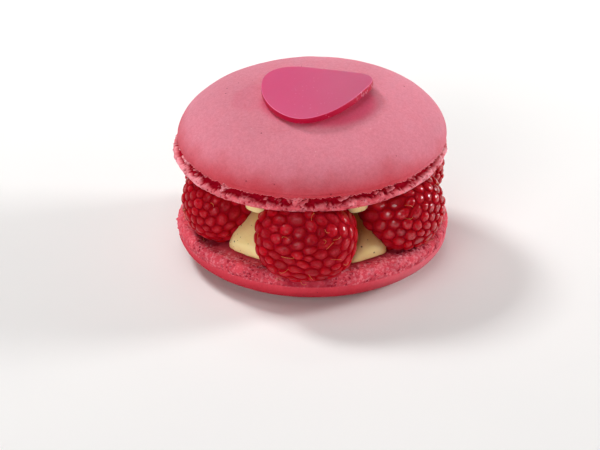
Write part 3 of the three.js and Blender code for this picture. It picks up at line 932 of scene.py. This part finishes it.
# Painted sheen: the drupelets' tops are painted paler and pinker, in patches
bloom = swell.between(0.7, 1.1) * mottle.between(-0.3, 0.4) * 0.65
flesh = mixed(bloom, juicy, colour(210, 62, 80))
flesh = mixed(swell.between(0.0, 0.6), colour(166, 5, 24), flesh)
flesh = mixed(mottle.between(-0.5, 0.5, 0.4, 0), flesh, colour(116, 2, 16))
wet = parts(place)[0].between(2 * MM, 20 * MM, 0.25, 1.0)
rough = mottle * 0.06 + swell.between(0.3, 0.9, 0.85, 0.38)
relief = cloudy(place, 0.35 * MM, 31.0, detail=1)
feed(tree, shader, Base_Color=flesh, Roughness=rough, Normal=bumped(relief, 0.03 * MM),
     Coat_Weight=swell.between(0.55, 0.9) * wet, Coat_Roughness=0.15, Specular_IOR_Level=0.05,
     Subsurface_Weight=0.9, Subsurface_Radius=(1.0, 0.1, 0.1), Subsurface_Scale=3.0 * MM)

# %% [markdown]
# ## Raspberry hairs
# Each drupelet starts with a style, which dries to a golden hair and curls over the beads
# near it. Most fall off, and the ones that stay are thickest near the tip. A hair is a thin
# tube along a short Bezier curve, and all the hairs are joined into one piece.

# %% Hairs
HAIR_WIDTH = 0.09 * MM
HAIRS = {"front": 18, "left": 7, "right": 10, "side_right": 5, "back_left": 4, "back_right": 4}
HAIR_REACH, HAIR_CROWDING = 0.85, 1.3  # how far from the tip, and how thick near it
HAIR_STEPS = (0.05, 0.06)  # from point to point of a hair: along the berry and round it
chance = random.Random(12)


def berry_point(berry, x, around, out):
    """A point over a berry's surface: x is 1 at the tip and 0 half way along it."""
    _, bearing, reach, *sizes, height, _, _ = berry
    across = math.sqrt(max(1 - x * x, 0))
    direction = Vector((x, across * math.cos(around), across * math.sin(around)))
    direction *= sum(abs(part) ** FULLNESS for part in direction) ** (-1 / FULLNESS)
    point = Vector([part * (size / 2 + out) for part, size in zip(direction, sizes)])
    point.x += reach
    point.rotate(Euler((0, 0, math.radians(bearing - 90))))
    return (point + Vector((0, 0, height))) * MM


print("hairs:", sum(HAIRS.values()))

# %% Draw the hairs
hairs = []
for berry in RASPBERRIES:
    for _ in range(HAIRS.get(berry[0], 0)):
        x = 1 - HAIR_REACH * chance.random() ** HAIR_CROWDING
        around = chance.uniform(0, 2 * math.pi)
        heading = chance.uniform(0, 2 * math.pi)
        curl = chance.choice((-1, 1)) * chance.uniform(0.5, 1.1)
        over = [(x, around)]
        for _ in range(3):
            x += HAIR_STEPS[0] * math.cos(heading)
            around += HAIR_STEPS[1] * math.sin(heading)
            heading += curl
            over.append((x, around))
        lifts = (-0.3, 0.4, chance.uniform(0.2, 0.6), chance.uniform(-0.1, 0.3))
        line = [berry_point(berry, min(x, 0.999), around, out)
                for (x, around), out in zip(over, lifts)]
        bpy.ops.object.select_all(action="DESELECT")
        bpy.ops.curve.primitive_bezier_curve_add(location=(0, 0, 0))
        hair = bpy.context.object
        first, last = hair.data.splines[0].bezier_points
        for point in (first, last):
            point.handle_left_type = point.handle_right_type = "FREE"
        first.handle_left, first.co, first.handle_right = line[0], line[0], line[1]
        last.handle_left, last.co, last.handle_right = line[2], line[3], line[3]
        hair.data.bevel_depth = HAIR_WIDTH / 2
        hair.data.bevel_resolution = 0
        hair.data.resolution_u = 6
        hair.data.use_fill_caps = True
        bpy.ops.object.convert(target="MESH")
        hairs.append(hair)
bpy.ops.object.select_all(action="DESELECT")
for hair in hairs:
    hair.select_set(True)
bpy.context.view_layer.objects.active = hairs[0]
bpy.ops.object.join()
hairs = bpy.context.object
hairs.name = "raspberry_hairs"
edit_all_points()
close_mesh(HAIR_WIDTH / 100)
bpy.ops.object.shade_smooth()
count_faces(hairs)

# %% Hair finish
tree, shader, place = new_material("dried_style", hairs)
browner = cloudy(place, 1.5 * MM, 35.0, detail=3) * 0.9 + 0.5
shade = mixed(browner, colour(168, 70, 30), colour(226, 160, 70))
feed(tree, shader, Base_Color=shade, Roughness=cloudy(place, 0.6 * MM, 36.0) * 0.1 + 0.45,
     Subsurface_Weight=0.2, Subsurface_Scale=0.3 * MM)

# %% [markdown]
# ## Cream
# Vanilla cream is piped in a ring between the berries and squeezed out when the top shell
# goes on. It bulges at its foot, narrows between the berries and spreads again under the
# shell. The body is turned on the wheel, and nodes push out the lobes between the berries.

# %% Cream body
CREAM_BOTTOM = BOTTOM_LIP + 0.1 * MM
CREAM_HEIGHT = 19.5 * MM
# in mm: its radius at the foot, and how far it swells, draws in and spreads above that
CREAM_RADIUS, CREAM_SWELL, CREAM_WAIST, CREAM_RIM = 27.7, 0.8, 4.1, 2.4
CREAM_LEVELS = 36


def smooth_step(value, low, high):
    """0 below low, 1 above high, and a smooth way between."""
    share = min(max((value - low) / (high - low), 0.0), 1.0)
    return share * share * (3 - 2 * share)


def cream_radius(level):
    """Radius of the cream in mm, from its foot at level 0 to its rim at level 1."""
    swell = math.sin(math.pi * min(level / 0.45, 1)) * CREAM_SWELL
    waist = smooth_step(level, 0.2, 0.6) * CREAM_WAIST
    rim = smooth_step(level, 0.65, 0.95) * CREAM_RIM
    return CREAM_RADIUS + swell - waist + rim


levels = [k / CREAM_LEVELS for k in range(CREAM_LEVELS + 1)]
side = [(cream_radius(level) * MM, CREAM_BOTTOM + level * CREAM_HEIGHT) for level in levels]
base = [(r * MM, CREAM_BOTTOM) for r in (0, 8, 16, 22, 25, 26.8)]
lid = [(r * MM, CREAM_BOTTOM + CREAM_HEIGHT) for r in (25, 22, 16, 8, 0)]
cream = turned_on_wheel("vanilla_cream_core", base + side + lid, SPIN_STEPS // 2)
count_faces(cream)

# %% Lobes of the cream
# bearings from the front, and the cosine of how far each lobe reaches
CREAM_LOBES = [
    (-34, 0.955), (27, 0.955), (82, 0.95), (-88, 0.95), (131, 0.95), (-137, 0.95), (177, 0.95),
]
LOBE_END = 0.035
# how far the lobes stand out, and the one at the front more, and how deep the grooves are
LOBE, FRONT_LOBE, GROOVE = 1.5 * MM, 2.4 * MM, 4.5 * MM
BLOB = 2.6  # times as far as its lobe

tree, mesh = new_relief("piped_lobes")
place, radius, height, outwards, wall = round_axis(tree)
x, y, _ = parts(place)
across, forward, _ = parts(outwards)
level = (height - CREAM_BOTTOM) * (1 / CREAM_HEIGHT)
edge = radius.between(18 * MM, 23 * MM)
right_side = across.between(0.1, 0.35)
top_level = level - right_side * 0.03
narrowing = level.between(0.0, 0.4) * level.between(0.55, 0.65, 1, 0.55)
narrowing = narrowing * (right_side * 0.01 + 0.018)
# near the top the lobes are gathered towards the front
spread = across * level.between(0.3, 0.6, 1, 1.16)
gathered = vector_maths("NORMALIZE", joined(tree, spread, forward, 0.0))
lobes = None
for bearing, width in CREAM_LOBES:
    lobe = (towards(gathered, bearing, front=-1) - narrowing).between(width, width + LOBE_END)
    lobes = lobe if lobes is None else lobes + lobe
bulge = level.band(0.0, 0.06, 0.1, 0.5) + top_level.between(0.56, 0.63) * BLOB
at_front = (forward * -1).maths("MAXIMUM", 0.0) ** 6.0
between_lobes = (1 - lobes).maths("MAXIMUM", 0.0)
creases = cloudy(joined(tree, x, y, height * 2.2), 2.4 * MM, 45.0, detail=1).maths("ABSOLUTE")
wobble = cloudy(wall, 8 * MM, 40.0) * 0.5 + cloudy(place, 2.6 * MM, 41.0) * 0.18 + creases * 0.45
push = at_front * FRONT_LOBE + lobes * bulge * LOBE - between_lobes * GROOVE + wobble * MM
moves = [scaled(outwards, push * edge)]
# Painted shade: the cream is painted darker and browner round its waist, more on its right side and
# on the right's lower lobes, and not near the top
stain = level.between(0.3, 0.52) * (right_side * 0.5 + 0.75)
stain = stain + right_side * level.between(0.1, 0.35, 0.35, 0.9)
stain = stain.maths("MINIMUM", 1.3) * top_level.between(0.57, 0.62, 1, 0)
stain = stain * (cloudy(place, 4 * MM, 44.0) * 0.3 + 0.9)
mesh = shifted(mesh, moves, stain=stain.maths("MINIMUM", 1.0))
run_relief(cream, finish_relief(mesh))
run_relief(cream, pressed)
bpy.ops.object.shade_smooth()
count_faces(cream)

# %% Cream finish
tree, shader, place = new_material("vanilla_cream_finish", cream)
cloud = cloudy(place, 5 * MM, 42.0)
shade = mixed(cloud * 0.5 + 0.5, colour(244, 216, 148), colour(250, 228, 168))
seeds = speckled(place, 1.6 * MM, 0.4, 0.15)
fine_seeds = speckled(scaled(place, 1.7), 1.5 * MM, 0.35, 0.12)
# Painted shade, darker and browner
shade = mixed(kept_number(tree, "stain"), shade, colour(168, 108, 50))
shade = mixed(seeds.maths("MAXIMUM", fine_seeds) * 0.85, shade, colour(60, 40, 22))
relief = cloudy(place, 0.9 * MM, 43.0, detail=3)
feed(tree, shader, Base_Color=shade, Roughness=cloud * 0.05 + 0.45,
     Normal=bumped(relief, 0.05 * MM), Subsurface_Weight=0.4,
     Subsurface_Radius=(1.0, 0.7, 0.4), Subsurface_Scale=1.5 * MM)

# %% [markdown]
# ## Petal
# The petal is a thin plate of tempered pink chocolate, cut round at one end and pointed at
# the other, and bent to lie on the dome with its point a little lifted. Its outline is a
# Bezier curve of four points. The plate is filled with rings towards its middle, so that
# it can bend, then gets its thickness and a fine rounded edge.

# %% Petal outline and plate
PETAL_POINTS = [  # place, handle before it, handle after it, in mm from the cap's middle
    ((14.6, -5.7), (12.0, -10.7), (18.1, 3.9)),
    ((0.1, 6.2), (6.4, 3.9), (-9.8, 9.1)),
    ((-12.0, -0.7), (-11.9, 2.8), (-13.1, -9.6)),
    ((0.2, -18.9), (-7.8, -19.6), (8.2, -18.0)),
]
PETAL_MIDDLE = Vector((0.6, -5.7, 0)) * MM
PETAL_REACH = 14 * MM
PETAL_RINGS = [1, 0.98, 0.94, 0.87, 0.78, 0.68, 0.58, 0.48, 0.38, 0.28, 0.18, 0.08]

bpy.ops.object.select_all(action="DESELECT")
bpy.ops.curve.primitive_bezier_circle_add(radius=PETAL_REACH)
petal = bpy.context.object
petal.name = "chocolate_petal"
petal.data.resolution_u = 24
for point, row in zip(petal.data.splines[0].bezier_points, PETAL_POINTS):
    middle, before, after = (Vector((*place, 0)) * MM for place in row)
    point.handle_left_type = point.handle_right_type = "FREE"
    point.co, point.handle_left, point.handle_right = middle, before, after
bpy.ops.object.convert(target="MESH")
edit_all_points()
for outer, inner in zip(PETAL_RINGS, PETAL_RINGS[1:]):
    share = inner / outer
    bpy.ops.mesh.extrude_region_move()
    bpy.ops.transform.resize(value=(share, share, 1), center_override=PETAL_MIDDLE)
bpy.ops.mesh.extrude_region_move()
bpy.ops.mesh.merge(type="CENTER")
close_mesh(WELD_DISTANCE)
count_faces(petal)

# %% Bend it over the cap
PETAL_GAP = 0.3 * MM
PETAL_THICKNESS = 1.6 * MM
EDGE_RADIUS = 0.34 * MM
EDGE_LIFT = 0.4 * MM
TIP_LIFT = 2.3 * MM
TIP = Vector((0.87, -0.5))  # the way from the petal's middle to its point

tree, mesh = new_relief("laid_on_the_cap")
x, y, _ = parts(add(tree, "GeometryNodeInputPosition"))
radius = flat_length(x, y) * (1 / (TOP_CAP["dome_radius"] * MM))
dome = (1 - radius ** (2 / TOP_CAP["roundness"])).maths("SQRT") * TOP_CAP["dome_height"] * MM
dome = dome + TOP_CAP["foot_height"] * MM
along, across = x - PETAL_MIDDLE.x, y - PETAL_MIDDLE.y
away = flat_length(along, across) * (1 / PETAL_REACH)
rising = (along * TIP.x + across * TIP.y).maths("MAXIMUM", 0.0) * (1 / PETAL_REACH)
z = dome + PETAL_GAP + away**2.0 * EDGE_LIFT + rising**2.0 * TIP_LIFT
mesh = placed_at(mesh, joined(tree, x + CAP_SHIFT, y, z))
run_relief(petal, finish_relief(mesh))

facing_up = sum(face.normal.z > 0 for face in petal.data.polygons) > len(petal.data.polygons) / 2
thicken = petal.modifiers.new("thickness", "SOLIDIFY")
thicken.thickness = PETAL_THICKNESS
thicken.offset = 1.0 if facing_up else -1.0
bpy.ops.object.modifier_apply(modifier="thickness")
soften = petal.modifiers.new("soft_edge", "BEVEL")
soften.width = EDGE_RADIUS
soften.segments = 3
soften.limit_method = "ANGLE"
soften.angle_limit = math.radians(50)
bpy.ops.object.modifier_apply(modifier="soft_edge")

tree, mesh = new_relief("petal_side")
side = parts(add(tree, "GeometryNodeInputNormal"))[2].maths("ABSOLUTE").between(0.5, 0.92, 1, 0)
run_relief(petal, finish_relief(stored(mesh, "side", side)))
bpy.ops.object.shade_smooth_by_angle(angle=math.radians(40))
place_piece(petal, TOP_PLACE, TOP_TURN)
count_faces(petal)

# %% Petal finish
tree, shader, place = new_material("pink_chocolate", petal)
across = parts(place)[0]
side = kept_number(tree, "side")
rim = side.band(0.02, 0.3, 0.35, 0.8)
cloud = cloudy(place, 6 * MM, 50.0)
shade = mixed(across.between(-9 * MM, 13 * MM), colour(216, 88, 128), colour(209, 105, 135))
shade = mixed((cloud * 0.5 + 0.5) * 0.2, shade, colour(226, 94, 142))
# Painted shade: the plate's side faces are painted dark crimson
shade = mixed(side, shade, colour(186, 8, 58))
# Painted highlight: a pale pink line along the rounded top edge
shade = mixed(rim * 0.85, shade, colour(250, 150, 196))
dust = speckled(place, 0.9 * MM, 0.35, 0.16)
dusted = across.between(-8 * MM, -3 * MM) * across.between(3 * MM, 7 * MM, 1, 0.15)
shade = mixed(dust * dusted * 0.3, shade, colour(244, 176, 200))
# Painted glints: white specks on the edge near the point
chips = speckled(scaled(place, 1.2), 0.8 * MM, 0.6, 0.42)
chips = chips * rim.maths("MAXIMUM", side * 0.3) * across.between(9 * MM, 12 * MM)
shade = mixed(chips * 0.8, shade, colour(255, 214, 236))
relief = cloudy(place, 1.2 * MM, 51.0, detail=3)
feed(tree, shader, Base_Color=shade, Roughness=cloud * 0.05 + 0.38, Specular_IOR_Level=0.15,
     Normal=bumped(relief, 0.02 * MM), Subsurface_Weight=0.5,
     Subsurface_Radius=(1.0, 0.25, 0.45), Subsurface_Scale=2.0 * MM)

# %% Ride and replace
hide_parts("cream")
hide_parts("petal")
for name, berry in raspberries.items():
    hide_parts("raspberry_" + name)
    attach(berry, "root")
for piece, slot in ((cream, "vanilla_cream"), (petal, "pink_chocolate"), (hairs, "raspberry")):
    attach(piece, "root")
for piece, node in ((shell_top, "shell_top"), (shell_bottom, "shell_bottom")):
    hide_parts(node)
    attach(piece, "root")
